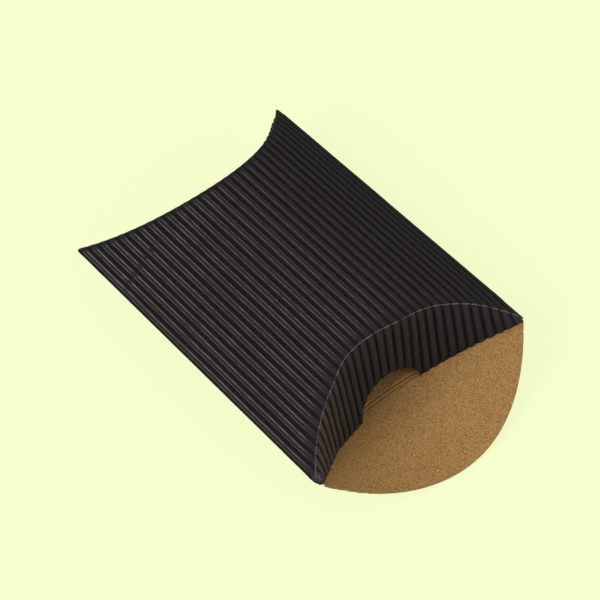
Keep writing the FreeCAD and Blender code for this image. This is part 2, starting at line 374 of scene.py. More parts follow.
def finish_mesh(name: str, shape: bmesh.types.BMesh) -> Piece:
    """Turn a bmesh into a smooth-shaded object with sharp cut edges.

    Args:
        name: Name of the piece.
        shape: The bmesh, which is freed.

    Returns:
        The new object, linked to the scene.
    """
    mesh = bpy.data.meshes.new(name)
    shape.to_mesh(mesh)
    shape.free()
    mesh.shade_smooth()
    mesh.set_sharp_from_angle(angle=math.radians(60))
    piece = bpy.data.objects.new(name, mesh)
    bpy.context.collection.objects.link(piece)
    return piece


def dress(piece: Piece, material: Material) -> None:
    """Give a new piece its material and log its vertex count."""
    piece.data.materials.append(material)
    log.info("%s: %d vertices", piece.name, len(piece.data.vertices))


@dataclass(frozen=True)
class BlackFluting:
    """Dyed black kraft paper, formed into ribs by hot rollers.

    Matt and nearly black, with painted shade darkening the valleys, two grey lines along each crest that are partly
    worn paper and partly painted highlight, a painted warm bounce light from the kraft on the front flap, fine fibres
    and frayed folds.
    """

    name: str = "black_kraft_paper_formed"
    # painted shade: colour of the rib valleys
    valley_shade: str = "#141114"
    body: str = "#272327"
    # grey of the crest lines, partly worn paper and partly painted highlight, and of the grey fibre flecks
    rubbed_and_highlit: str = "#7f797b"
    frayed: str = "#a39d96"
    # painted warm bounce light from the kraft, laid on the front flap
    kraft_bounce_brown: str = "#574a3e"
    line_places: Pair = (-0.19, 0.19)
    line_shares: Pair = (0.65, 0.95)
    line_width: float = 0.08
    # in millimetres: real fibres, about 0.03 mm wide, are drawn this coarse so that they show
    fibre_size: float = 0.45
    patch_size: float = 11.0
    streak_scale: tuple[float, float, float] = (9.0, 0.9, 1.0)
    grain_depth: float = 0.05 * MM
    specular: float = 0.07

    def build(self) -> Material:
        """Make the material."""
        material, tree, shader = new_material(self.name)
        place = add_node(tree, "ShaderNodeTexCoord", {}).outputs["Object"]
        lay = attribute(tree, "lay", "Vector")
        fibres = noise_value(tree, place, per_metre(self.fibre_size), 6.0, 0.65)
        patches = noise_value(tree, place, per_metre(self.patch_size), 3.0)
        along = add_node(tree, "ShaderNodeMapping", {"Vector": lay, "Scale": self.streak_scale}).outputs[0]
        streaks = noise_value(tree, along, 1.0, 4.0, 0.6)
        phase = self.rib_phase(tree, lay)
        tone = self.paper_tone(tree, phase, streaks)
        # grey crest lines: partly worn paper and partly a painted highlight, strongest on the left and towards the far
        # end
        colour = mix_colour(tree, self.rub_and_highlight_lines(tree, phase, streaks, patches), tone, linear(self.rubbed_and_highlit))
        dust_and_bounce_light = map_range(tree, fibres, (0.56, 0.80), (0.0, 0.22))
        colour = mix_colour(tree, dust_and_bounce_light, colour, linear(self.rubbed_and_highlit))
        fray = calculate(tree, "MULTIPLY", attribute(tree, "wear_and_shade"), map_range(tree, fibres, (0.46, 0.58)))
        colour = mix_colour(tree, fray, colour, linear(self.frayed))
        rough = map_range(tree, streaks, (0.3, 0.7), (0.70, 0.90))
        fine = relief(tree, fibres, 0.5, self.grain_depth)
        normal = relief(tree, streaks, 0.4, self.grain_depth, Normal=fine)
        plug(tree, shader, {"Base Color": colour, "Roughness": rough, "Normal": normal})
        plug(tree, shader, {"Specular IOR Level": self.specular})
        return material

    def rib_phase(self, tree: Tree, lay: Socket) -> Socket:
        """Place on a rib: nought on its crest, and a half to either side in its valleys."""
        across = add_node(tree, "ShaderNodeSeparateXYZ", {0: lay}).outputs[0]
        return calculate(tree, "SUBTRACT", calculate(tree, "FRACT", calculate(tree, "ADD", across, 0.5)), 0.5)

    def paper_tone(self, tree: Tree, phase: Socket, streaks: Socket) -> Socket:
        """Colour of the paper without its grey lines: painted shade makes it darkest in the valleys, and a painted
        bounce light from the kraft makes it browner on the front flap.

        Args:
            tree: Node tree of the material.
            phase: Place on the rib, nought on its crest.
            streaks: Noise that runs along the ribs.

        Returns:
            Socket with the colour.
        """
        # painted shade: the tone goes from the body colour on the crests to the darker colour in the valleys
        height = map_range(tree, calculate(tree, "ABSOLUTE", phase), (0.40, 0.22), kind="SMOOTHSTEP")
        height = calculate(tree, "MULTIPLY", height, map_range(tree, streaks, (0.3, 0.7), (0.6, 1.25)))
        # painted bounce light from the kraft: browner where the vertices carry it, most on the crests
        bounce_share = calculate(tree, "MULTIPLY", attribute(tree, "dust_and_bounce_light"), height)
        tone = mix_colour(tree, height, linear(self.valley_shade), linear(self.body))
        return mix_colour(tree, bounce_share, tone, linear(self.kraft_bounce_brown))

    def rub_and_highlight_lines(self, tree: Tree, phase: Socket, streaks: Socket, patches: Socket) -> Socket:
        """Thin grey lines along each rib, partly worn paper and partly painted highlight, broken by streaks and uneven
        by patches.

        Args:
            tree: Node tree of the material.
            phase: Place on the rib, nought on its crest.
            streaks: Noise that runs along the ribs.
            patches: Broad noise.

        Returns:
            Socket with the strength of the lines.
        """
        lines = []
        for place, share in zip(self.line_places, self.line_shares):
            away = calculate(tree, "ABSOLUTE", calculate(tree, "SUBTRACT", phase, place))
            lines.append(map_range(tree, away, (self.line_width, 0.0), (0.0, share), "SMOOTHSTEP"))
        strength = calculate(tree, "MAXIMUM", *lines)
        broken = map_range(tree, streaks, (0.34, 0.60), (0.25, 1.0))
        uneven = map_range(tree, patches, (0.3, 0.7), (0.7, 1.0))
        for share in (broken, attribute(tree, "rub_and_highlight"), uneven):
            strength = calculate(tree, "MULTIPLY", strength, share)
        return strength


@dataclass(frozen=True)
class KraftLiner:
    """Unbleached kraft linerboard, machine made.

    Warm brown with a cloudy tone and short dark and pale fibres lying every way, and painted shade in the scored
    grooves and on the turned hem.
    """

    name: str = "unbleached_kraft_liner_machine_made"
    body: str = "#9c7440"
    cloud: str = "#916a37"
    # dark fibres, and the painted shade of the scored grooves and the turned hem
    dark_fibre_and_shade: str = "#553c1c"
    pale_fibre: str = "#bd9560"
    cloud_size: float = 3.5
    grain_size: float = 0.45
    # in millimetres: real fibres, about 0.03 mm wide, are drawn as flecks this coarse so that they show
    fleck_size: tuple[float, float, float] = (0.65, 0.24, 0.4)
    dark_turns: Pair = (0.5, 2.1)
    pale_turns: Pair = (1.3, 2.8)
    grain_depth: float = 0.06 * MM
    specular: float = 0.2

    def build(self) -> Material:
        """Make the material."""
        material, tree, shader = new_material(self.name)
        place = add_node(tree, "ShaderNodeTexCoord", {}).outputs["Object"]
        clouds = noise_value(tree, place, per_metre(self.cloud_size), 5.0)
        grain = noise_value(tree, place, per_metre(self.grain_size), 5.0, 0.6)
        colour = mix_colour(tree, map_range(tree, clouds, (0.35, 0.65)), linear(self.body), linear(self.cloud))
        pale = self.fibres(tree, place, self.pale_turns, (0.75, 0.48))
        colour = mix_colour(tree, pale, colour, linear(self.pale_fibre))
        # dark fibres, then painted shade where the vertices carry it: the scored grooves and the turned hem
        for share in (self.fibres(tree, place, self.dark_turns, (0.9, 0.53)), attribute(tree, "wear_and_shade")):
            colour = mix_colour(tree, share, colour, linear(self.dark_fibre_and_shade))
        rough = map_range(tree, grain, (0.3, 0.7), (0.72, 0.9))
        normal = relief(tree, grain, 0.5, self.grain_depth)
        plug(tree, shader, {"Base Color": colour, "Roughness": rough, "Normal": normal})
        plug(tree, shader, {"Specular IOR Level": self.specular})
        return material

    def fibres(self, tree: Tree, place: Socket, turns: Pair, reach: Pair) -> Socket:
        """Short fibres that lie two ways.

        Args:
            tree: Node tree of the material.
            place: Place on the piece.
            turns: Directions of the fibres, in radians.
            reach: Strength of the fibres and the noise level that shows them.

        Returns:
            Socket with the strength of the fibres.
        """
        strength, level = reach
        scale = tuple(per_metre(size) for size in self.fleck_size)
        flecks = []
        for turn in turns:
            laid = add_node(tree, "ShaderNodeMapping", {"Vector": place, "Rotation": (0.0, 0.0, turn), "Scale": scale})
            thread = noise_value(tree, laid.outputs[0], 1.0, 3.0)
            flecks.append(map_range(tree, thread, (level, level + 0.14), (0.0, strength)))
        return calculate(tree, "MAXIMUM", *flecks)


@dataclass(frozen=True)
class DriedGlue:
    """Dried white glue, rolled on in a thin film: pale amber, slightly glossy and uneven."""

    name: str = "dried_white_glue_rolled"
    thick: str = "#d9c79a"
    thin: str = "#b9995f"
    smear_size: float = 2.5
    smear_depth: float = 0.04 * MM

    def build(self) -> Material:
        """Make the material."""
        material, tree, shader = new_material(self.name)
        place = add_node(tree, "ShaderNodeTexCoord", {}).outputs["Object"]
        smear = noise_value(tree, place, per_metre(self.smear_size), 4.0)
        colour = mix_colour(tree, smear, linear(self.thin), linear(self.thick))
        rough = map_range(tree, smear, (0.0, 1.0), (0.3, 0.6))
        normal = relief(tree, smear, 0.4, self.smear_depth)
        plug(tree, shader, {"Base Color": colour, "Roughness": rough, "Normal": normal})
        return material


@dataclass(frozen=True)
class Finishes:
    """Materials of the box."""

    fluting: Material
    liner: Material
    glue: Material

    def of(self, ply: Ply) -> Material:
        """Material of one ply."""
        return self.fluting if ply is Ply.FLUTING else self.liner


@dataclass(frozen=True)
class Dent:
    """Small knock that flattens a rib: place in ribs and along the box, and its reach."""

    rib: float
    y: float
    reach: float = 1.6 * MM
    share: float = 0.75

    def left(self, rib: float, y: float) -> float:
        """Share of the rib's height that is left at a place."""
        gap = math.hypot((rib - self.rib) * BOARD.pitch * 0.8, y - self.y)
        return 1 - self.share * (1 - smooth_step(0.3 * self.reach, self.reach, gap))


@dataclass(frozen=True)
class Crush:
    """How far a fold or a cut edge flattens the ribs: share of their height left there, and the run to full height."""

    share: float = 1.0
    run: float = 1.0 * MM

    def left(self, gap: float) -> float:
        """Share of the ribs' height that is left at a distance."""
        return self.share + (1 - self.share) * smooth_step(0.0, self.run, gap)


@dataclass(frozen=True)
class Ribs:
    """Waved outer paper: how broad its crests are, how far its folds and edges crush it, and how strong its grey crest
    lines are, which are partly worn paper and partly painted highlight.
    """

    breadth: float = 0.9
    crease: Crush = Crush(0.30, 9.0 * MM)
    edge: Crush = Crush()
    tip_share: float = 1.0
    # strength of the grey lines, partly worn paper and partly painted highlight; the painted highlight fades towards
    # the right and grows towards the far end
    rubbed_and_highlit: float = 1.0
    rub_and_highlight_right: float = 0.12
    rub_and_highlight_fades: Pair = (-3.0, 8.0)
    highlight_grows: Pair = (10 * MM, 55 * MM)
    tip_ribs: float = 2.5
    uneven: float = 0.10
    wander: float = 0.05
    dents: tuple[Dent, ...] = ()

    def wave(self, rib: float) -> float:
        """Height share of the wave at a place counted in ribs, one on a crest."""
        return (0.5 + 0.5 * math.cos(2 * math.pi * rib)) ** self.breadth

    def rise(self, rib: float, swell: float) -> float:
        """Height of the outer side above the glue line."""
        return BOARD.glue + BOARD.paper + BOARD.flute * self.wave(rib) * swell

    def spot(self, sheet: Sheet, rib: float, run: float, swell: float) -> Spot:
        """Place of the outer side of the fluting.

        Args:
            sheet: The bowed sheet.
            rib: Place across, counted in ribs.
            run: Distance along the ribs from the chord.
            swell: Share of the ribs' height that folds and edges leave.

        Returns:
            The place with its marks.
        """
        half = BOARD.half_ribs
        swell *= 1 - (1 - self.tip_share) * smooth_step(half - self.tip_ribs, half, abs(rib))
        # every rib draws its own noise, which changes slowly along it
        number = math.floor(rib + 0.5)
        swell *= 1 + self.uneven * noise.noise(Vector((number * 1.7, run / (30 * MM), 0.3)))
        drift = self.wander * noise.noise(Vector((number * 0.9, run / (22 * MM), 7.1)))
        place = sheet.point(rib, run)
        for dent in self.dents:
            swell *= dent.left(rib, place.y)
        # painted highlight in the grey lines: weaker on the right half and stronger towards the far end; the lines also
        # fade where folds crush the ribs
        right = smooth_step(*self.rub_and_highlight_fades, rib)
        rub_and_highlight = self.rubbed_and_highlit * (1 - (1 - self.rub_and_highlight_right) * right) * smooth_step(0.25, 0.95, swell)
        rub_and_highlight *= 0.85 + 0.45 * smooth_step(*self.highlight_grows, place.y)
        out = sheet.out(rib)
        return Spot(place + out * self.rise(rib + drift, swell), out, BOARD.paper, rib + drift, run, rub_and_highlight)


@dataclass(frozen=True)
class Panel:
    """One of the two broad faces of the sleeve: its black ribs and its kraft liner."""

    name: str
    sheet: Sheet
    front_run: Run
    back_run: Run
    fluting_nodes: tuple[str, ...]
    ribs: Ribs
    front: Crush
    back: Crush
    front_gap: float = 0.0
    liner_short: float = 0.0
    rows: int = 84
    rows_gathered: float = 0.11
    liner_samples: int = 3

    def build(self, finishes: Finishes) -> None:
        """Make both plies and let them ride on the sleeve."""
        for ply in Ply:
            piece = self.make_ply(ply)
            dress(piece, finishes.of(ply))
            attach(piece, "sleeve")
            nodes = self.fluting_nodes if ply is Ply.FLUTING else (f"{self.name}_liner",)
            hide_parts(*nodes)

    def make_ply(self, ply: Ply) -> Piece:
        """Make one ply.

        Args:
            ply: Which paper.

        Returns:
            The new piece.
        """

        def spot(across: float, along: float) -> Spot:
            """Place of the ply for shares across and along, its rows gathered towards the creases."""
            rib = (across - 0.5) * BOARD.ribs
            start, end = self.front_run(rib), self.back_run(rib)
            if ply is Ply.LINER:
                end += math.copysign(self.liner_short, start - end)
            run = start + (end - start) * (along - self.rows_gathered * math.sin(2 * math.pi * along))
            if ply is Ply.LINER:
                return Spot(self.sheet.point(rib, run), self.sheet.out(rib), BOARD.liner)
            swell = self.front.left(abs(run - start) + self.front_gap) * self.back.left(abs(end - run))
            here = self.ribs.spot(self.sheet, rib, run, swell)
            here.place.z = max(here.place.z, 0.0)
            return here

        columns = BOARD.ribs * (SAMPLES_PER_RIB if ply is Ply.FLUTING else self.liner_samples)
        return make_sheet(f"{self.name}_{ply.value}_paper", columns, self.rows, spot)


@dataclass(frozen=True)
class Flap:
    """An end flap in its two plies, each in four spans that take the place of the flap's strips, or in one whole piece
    where the flap is fixed.

    The hem is the liner's edge at the crease, turned into the box and coloured dark brown as painted shade, which
    closes the fold when the flap opens.
    """

    name: str
    sheet: Sheet
    root_run: Run
    free_run: Run
    ribs: Ribs
    lean: Callable[[float, float], Vector] = lambda rib, share: Vector()
    # painted warm bounce light from the kraft: its strength, its share on the right, and the ribs over which it grows
    # towards the left
    bounce_share: float = 0.0
    bounce_right: float = 0.15
    bounce_fades: Pair = (-2.0, -12.0)
    notched: bool = False
    moving: bool = True
    rows: int = 32
    liner_samples: int = 6
    tips: Pair = (15.45, 15.45)
    liner_short: float = 0.0
    strip_middles: Pair = (6.5, 12.5)
    ply_inset: float = 0.0
    hem: Vector | None = None
    hem_share: float = 0.125

    def edge_run(self, rib: float) -> float:
        """Run of the free edge, with the thumb notch taken out of it."""
        free = self.free_run(rib)
        across = BOARD.across(rib)
        if not self.notched or abs(across) >= BOARD.notch_radius:
            return free
        toward = math.copysign(1.0, self.root_run(rib) - free)
        cut = self.free_run(0.0) + toward * math.sqrt(BOARD.notch_radius**2 - across**2)
        return max(free, cut) if toward > 0 else min(free, cut)

    def build(self, finishes: Finishes) -> None:
        """Make the spans of both plies with their transforms baked in, or one whole piece of each ply that rides on the
        sleeve where the flap is fixed.
        """
        inner, outer = self.strip_middles
        spans = (
            ("far_left", -self.tips[0], -inner, ("far_left", "left"), (-outer, -inner), ("far_left",)),
            ("left", -inner, 0.0, ("left", "centre"), (-inner, 0.0), ("left", "centre")),
            ("right", 0.0, inner, ("centre", "right"), (0.0, inner), ("right",)),
            ("far_right", inner, self.tips[1], ("right", "far_right"), (inner, outer), ("far_right",)),
        )
        for ply in Ply:
            if not self.moving:
                piece = self.make_span(ply, "whole", -self.tips[0], self.tips[1])
                dress(piece, finishes.of(ply))
                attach(piece, "sleeve")
                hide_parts(f"{self.name}_{ply.value}")
                continue
            for label, first, last, bodies, reach, nodes in spans:
                piece = self.make_span(ply, label, first, last)
                dress(piece, finishes.of(ply))
                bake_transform(piece)
                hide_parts(*(f"{self.name}_{node}_{ply.value}" for node in nodes))

    def make_span(self, ply: Ply, label: str, first: float, last: float) -> Piece:
        """Make one span of one ply.

        Args:
            ply: Which paper.
            label: Name of the span.
            first: Its first place, counted in ribs.
            last: Its last place, counted in ribs.

        Returns:
            The new piece.
        """
        if ply is Ply.LINER:
            first = max(first, self.liner_short - self.tips[0])
            last = min(last, self.tips[1] - self.liner_short)

        def spot(across: float, along: float) -> Spot:
            """Place of the ply for shares across and along."""
            rib = first + (last - first) * across
            turned = 0.0
            if self.hem is not None and ply is Ply.LINER:
                turned = max(1 - along / self.hem_share, 0.0)
                along = max(along - self.hem_share, 0.0) / (1 - self.hem_share)
            root, edge = self.root_run(rib), self.edge_run(rib)
            if ply is Ply.FLUTING:
                edge += math.copysign(self.ply_inset, root - edge)
            run = root + (edge - root) * along
            if ply is Ply.LINER:
                here = Spot(self.sheet.point(rib, run), self.sheet.out(rib), BOARD.liner)
                # the hem is coloured dark brown: painted shade inside the fold
                if turned:
                    here = replace(here, place=here.place + self.hem * turned, out=Vector((0, 0, 1)), wear_and_shade=1.0)
            else:
                swell = self.ribs.crease.left(abs(run - root)) * self.ribs.edge.left(abs(run - edge))
                here = self.ribs.spot(self.sheet, rib, run, swell)
                here.place.z = max(here.place.z, 0.0)
            free = self.free_run(rib)
            reach = abs((run - root) / (free - root)) if free != root else 0.0
            # painted bounce light from the kraft, stronger towards the left of the flap
            bounce_share = self.bounce_share * (self.bounce_right + (1 - self.bounce_right) * smooth_step(*self.bounce_fades, rib))
            return replace(here, place=here.place + self.lean(rib, reach), dust_and_bounce_light=bounce_share)

        fine = SAMPLES_PER_RIB if ply is Ply.FLUTING or self.notched else self.liner_samples
        columns = round((last - first) * fine)
        return make_sheet(f"{self.name}_{label}_{ply.value}_paper", columns, self.rows, spot)


@dataclass(frozen=True)
class FoldedCrease:
    """Crushed fold between a panel and its shut flap: a tight round of black paper, worn pale along its top."""

    name: str
    panel: Sheet
    flap: Sheet
    panel_run: Run
    ribs: Ribs
    crush: Crush
    wear_and_shade: float = 0.6
    turns: int = 10

    def build(self, finishes: Finishes) -> None:
        """Make the rounded fold and let it ride on the sleeve."""

        def spot(across: float, around: float) -> Spot:
            """Place on the fold for shares across the box and around the fold."""
            rib = (across - 0.5) * BOARD.ribs
            out = self.panel.out(rib).slerp(self.flap.out(rib), around)
            run = self.panel_run(rib)
            place = self.panel.point(rib, run) + out * self.ribs.rise(rib, self.crush.share)
            line = 1 - smooth_step(0.05, 0.30, abs(around - 0.45))
            corner = smooth_step(BOARD.half_ribs - 3.0, BOARD.half_ribs, abs(rib))
            return Spot(place, out, BOARD.paper, rib, run, 0.0, self.wear_and_shade * max(line, 0.6 * corner))

        piece = make_sheet(f"{self.name}_fold", BOARD.ribs * SAMPLES_PER_RIB, self.turns, spot)
        dress(piece, finishes.fluting)
        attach(piece, "sleeve")
        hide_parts(self.name)


@dataclass(frozen=True)
class ScoredCrease:
    """Flat crease of the straight flap: the board crushed thin, with two scored grooves in its kraft side."""

    name: str
    sheet: Sheet
    near_run: Run
    far_run: Run
    score_run: Run
    ribs: Ribs
    tips: Pair = (15.0, 15.5)
    rows: int = 48
    score_gap: float = 1.3 * MM
    score_width: float = 0.55 * MM
    score_depth: float = 0.16 * MM
    fluting_setback: float = 0.7 * MM
    liner_samples: int = 4

    def build(self, finishes: Finishes) -> None:
        """Make both plies and let them ride on the sleeve."""
        for ply in Ply:
            piece = self.make_ply(ply)
            dress(piece, finishes.of(ply))
            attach(piece, "sleeve")
            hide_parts(self.name)

    def make_ply(self, ply: Ply) -> Piece:
        """Make one ply of the crushed strip.

        Args:
            ply: Which paper.

        Returns:
            The new piece.
        """

        def spot(across: float, along: float) -> Spot:
            """Place of the ply for shares across and along."""
            rib = sum(self.tips) * across - self.tips[0]
            near, far = self.near_run(rib), self.far_run(rib)
            if ply is Ply.FLUTING:
                near += self.fluting_setback
            run = near + (far - near) * along
            if ply is Ply.FLUTING:
                return self.ribs.spot(self.sheet, rib, run, self.ribs.crease.left(abs(run - near)))
            aside = abs(run - self.score_run(rib))
            groove = 1 - smooth_step(0.2 * self.score_width, self.score_width, abs(aside - self.score_gap / 2))
            depth = BOARD.liner - self.score_depth * groove
            # painted shade darkens the scored grooves
            return Spot(self.sheet.point(rib, run), self.sheet.out(rib), depth, wear_and_shade=0.12 * groove)

        columns = BOARD.ribs * (SAMPLES_PER_RIB if ply is Ply.FLUTING else self.liner_samples)
        return make_sheet(f"{self.name}_{ply.value}_paper", columns, self.rows, spot)


@dataclass(frozen=True)
class SideFold:
    """Rounded fold along one side, where the upper and lower panels are one sheet."""

    side: int
    upper: Sheet
    lower: Sheet
    front_y: float
    back_y: float
    knob: float = 0.0
    knob_run: float = 6.0 * MM
    bulge: float = 0.30 * MM
    uneven: float = 0.06 * MM
    turns: int = 10
    rows: int = 64

    @property
    def name(self) -> str:
        """Name of the solid that the fold stands for."""
        return "left_side_fold" if self.side < 0 else "right_side_fold"

    def build(self, finishes: Finishes) -> None:
        """Make the fold and let it ride on the sleeve."""
        rib = self.side * BOARD.half_ribs

        def spot(around: float, along: float) -> Spot:
            """Place on the fold for shares around it and along the box."""
            y = self.front_y + (self.back_y - self.front_y) * along
            out = self.upper.out(rib).slerp(self.lower.out(rib), around)
            uneven = self.uneven * noise.noise(Vector((self.side * 3.1, y / (6 * MM), 2.0)))
            worn = self.knob * smooth_step(self.knob_run, 0.0, y - self.front_y)
            reach = BOARD.glue + BOARD.paper + (self.bulge + uneven + worn) * math.sin(math.pi * around)
            place = Vector((BOARD.across(rib), y, BOARD.middle)) + out * reach
            # the rib place lies towards the valleys of the ribs, so the fluting's painted shade of the valleys darkens
            # the fold
            return Spot(place, out, BOARD.paper, 0.32 + 0.1 * around, y, 0.0, 0.10 * math.sin(math.pi * around))

        piece = make_sheet(f"{self.name}_round", self.turns, self.rows, spot)
        dress(piece, finishes.fluting)
        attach(piece, "sleeve")
        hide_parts(self.name)


@dataclass(frozen=True)
class CrushedCorner:
    """Front end of the left side fold, where the board is pressed into a smooth round lump."""

    middle: tuple[float, float, float] = (-43.4 * MM, -63.55 * MM, 20.9 * MM)
    size: tuple[float, float, float] = (1.85 * MM, 2.95 * MM, 1.25 * MM)
    turn: float = 4.0

    def build(self, finishes: Finishes) -> None:
        """Press a ball into the lump and let it ride on the sleeve."""
        shape = bmesh.new()
        wear_and_shade = shape.verts.layers.float.new("wear_and_shade")
        bmesh.ops.create_uvsphere(shape, u_segments=32, v_segments=20, radius=1.0)
        for vert in shape.verts:
            vert[wear_and_shade] = 0.22 * smooth_step(0.1, 0.9, vert.co.z)
            vert.co *= 1 + 0.05 * noise.noise(vert.co * 1.6)
        bmesh.ops.scale(shape, vec=self.size, verts=shape.verts[:])
        bmesh.ops.rotate(shape, matrix=Matrix.Rotation(math.radians(self.turn), 3, "Z"), verts=shape.verts[:])
        bmesh.ops.translate(shape, vec=self.middle, verts=shape.verts[:])
        piece = finish_mesh("left_front_corner_crush", shape)
        dress(piece, finishes.fluting)
        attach(piece, "sleeve")


@dataclass(frozen=True)
class Studio:
    """Floor, soft lamps and camera of the photograph."""

    backdrop: str = "#f7ffce"
    floor_size: float = 3.0
    floor_drop: float = 0.05 * MM
    floor_glow: float = 0.90
    soft_light: float = 0.28
    aim: tuple[float, float, float] = (0.0, 0.0, 0.02)
    azimuth: float = -32.25
    elevation: float = 53.92
    roll: float = -9.243
    distance: float = 883.41 * MM
    focal_pixels: float = 2606.53
    centre_pixels: Pair = (295.454, 284.859)
    frame_pixels: int = 600

    def build(self) -> None:
        """Make the whole studio."""
        self.floor()
        self.world()
        self.lamps()
        self.camera()
        bpy.context.scene.view_settings.view_transform = "Standard"

    def pale_light(self, tree: Tree) -> Socket:
        """Share of the rays that see the pale backdrop: camera, glossy and transmission."""
        path = add_node(tree, "ShaderNodeLightPath", {}).outputs
        seen = calculate(tree, "MAXIMUM", path["Is Camera Ray"], path["Is Glossy Ray"])
        return calculate(tree, "MAXIMUM", seen, path["Is Transmission Ray"])

    def floor(self) -> None:
        """Make the pale floor, which keeps a faint shadow."""
        shape = bmesh.new()
        bmesh.ops.create_grid(shape, x_segments=1, y_segments=1, size=self.floor_size)
        floor = finish_mesh("floor", shape)
        floor.location.z = -self.floor_drop
        # matt paper backdrop, rolled out flat and lit evenly
        material, tree, shader = new_material("pale_paper_backdrop")
        pale = linear(self.backdrop)
        plug(tree, shader, {"Base Color": pale, "Roughness": 0.9, "Specular IOR Level": 0.0})
        glow = add_node(tree, "ShaderNodeEmission", {"Color": pale, "Strength": 1.0})
        share = calculate(tree, "MULTIPLY", self.pale_light(tree), self.floor_glow)
        mixed = add_node(tree, "ShaderNodeMixShader", {0: share, 1: shader.outputs[0], 2: glow.outputs[0]})
        plug(tree, tree.nodes["Material Output"], {"Surface": mixed.outputs[0]})
        floor.data.materials.append(material)

    def world(self) -> None:
        """Make the world, which is pale where it is seen and gives a soft light."""
        world = bpy.context.scene.world or bpy.data.worlds.new("studio")
        bpy.context.scene.world = world
        world.use_nodes = True
        tree = world.node_tree
        tree.nodes.clear()
        soft = add_node(tree, "ShaderNodeBackground", {"Color": (1.0, 1.0, 1.0, 1.0), "Strength": self.soft_light})
        pale = add_node(tree, "ShaderNodeBackground", {"Color": linear(self.backdrop), "Strength": 1.0})
        shares = {0: self.pale_light(tree), 1: soft.outputs[0], 2: pale.outputs[0]}
        mixed = add_node(tree, "ShaderNodeMixShader", shares)
        add_node(tree, "ShaderNodeOutputWorld", {"Surface": mixed.outputs[0]})

    def lamps(self) -> None:
        """Hang a broad key lamp on the left, a fill on the right and a top lamp, by place, size and power."""
        for name, place, size, power in (
            ("key", (-0.65, -0.05, 0.70), 0.5, 6.1),
            ("fill", (0.25, -0.75, 0.42), 0.6, 3.1),
            ("top", (0.0, 0.1, 1.0), 0.8, 1.5),
        ):
            lamp = bpy.data.lights.new(name, "AREA")
            lamp.size = size
            lamp.energy = power
            hung = bpy.data.objects.new(name, lamp)
            hung.location = place
            hung.rotation_euler = (Vector(self.aim) - Vector(place)).to_track_quat("-Z", "Y").to_euler()
            bpy.context.collection.objects.link(hung)

    def camera(self) -> None:
        """Set the camera at the photograph's angle for its square frame."""
        azimuth, elevation = math.radians(self.azimuth), math.radians(self.elevation)
        level = math.cos(elevation)
        back = Vector((math.sin(azimuth) * level, -math.cos(azimuth) * level, math.sin(elevation)))
        right = Vector((math.cos(azimuth), math.sin(azimuth), 0))
        up = back.cross(right)
        turn = math.radians(self.roll)
        side = right * math.cos(turn) + up * math.sin(turn)
        top = up * math.cos(turn) - right * math.sin(turn)
        eye = bpy.data.cameras.new("camera")
        eye.sensor_width = 36.0
        eye.lens = self.focal_pixels / self.frame_pixels * eye.sensor_width
        eye.clip_start = 0.01
        eye.shift_x = (self.frame_pixels / 2 - self.centre_pixels[0]) / self.frame_pixels
        eye.shift_y = (self.centre_pixels[1] - self.frame_pixels / 2) / self.frame_pixels
        holder = bpy.data.objects.new("camera", eye)
        place = Vector((0, 0, BOARD.middle)) + back * self.distance
        holder.matrix_world = Matrix.Translation(place) @ Matrix((side, top, back)).transposed().to_4x4()
        bpy.context.collection.objects.link(holder)
        bpy.context.scene.camera = holder


def dress_nodes(finishes: Finishes) -> None:
    """Give the solids that stay in view their papers and their glue."""
    for name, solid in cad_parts.items():
        material = finishes.liner if name.endswith("liner") else finishes.fluting
        if name == "seam_adhesive":
            material = finishes.glue
        solid.data.materials.clear()
        solid.data.materials.append(material)


@dataclass(frozen=True)
class Wave:
    """Smooth hump across the ribs: its height, and its middle and reach counted in ribs."""

    height: float
    middle: float
    reach: float

    def at(self, rib: float) -> float:
        """Height at a place counted in ribs."""
        return self.height * bump(self.middle, self.reach, rib)


@dataclass(frozen=True)
class Slope:
    """Smooth step across the ribs: its height, and the ribs where it starts and ends."""

    height: float
    start: float
    end: float

    def at(self, rib: float) -> float:
        """Height at a place counted in ribs."""
        return self.height * smooth_step(self.start, self.end, rib)


